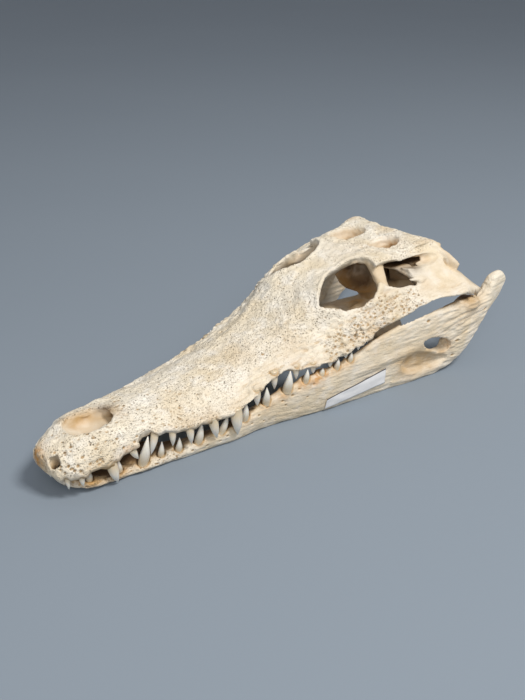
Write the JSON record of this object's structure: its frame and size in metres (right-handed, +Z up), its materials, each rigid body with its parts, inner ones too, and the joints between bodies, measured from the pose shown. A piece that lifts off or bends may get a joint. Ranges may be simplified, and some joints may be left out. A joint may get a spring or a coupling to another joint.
{
  "type": "crocodile skull",
  "caption": "Life-size bare skull of a young crocodile, jaws closed, resting on its lower jaws, for display and study.",
  "frame": {"origin": "centre of the bounding box in X and Y, at the level the lower jaws rest on", "axes": "-Y out of the tip of the snout, +X to the skull's left, +Z up"},
  "size_m": [0.1183, 0.2911, 0.0756],
  "materials": {
    "bone": "dry cleaned bone, ivory, matt",
    "paper": "plain white paper, matt"
  },
  "bodies": {
    "root": {"cranium": "bone", "mandible_left": "bone", "mandible_right": "bone", "tag": "paper"}
  },
  "joints": []
}
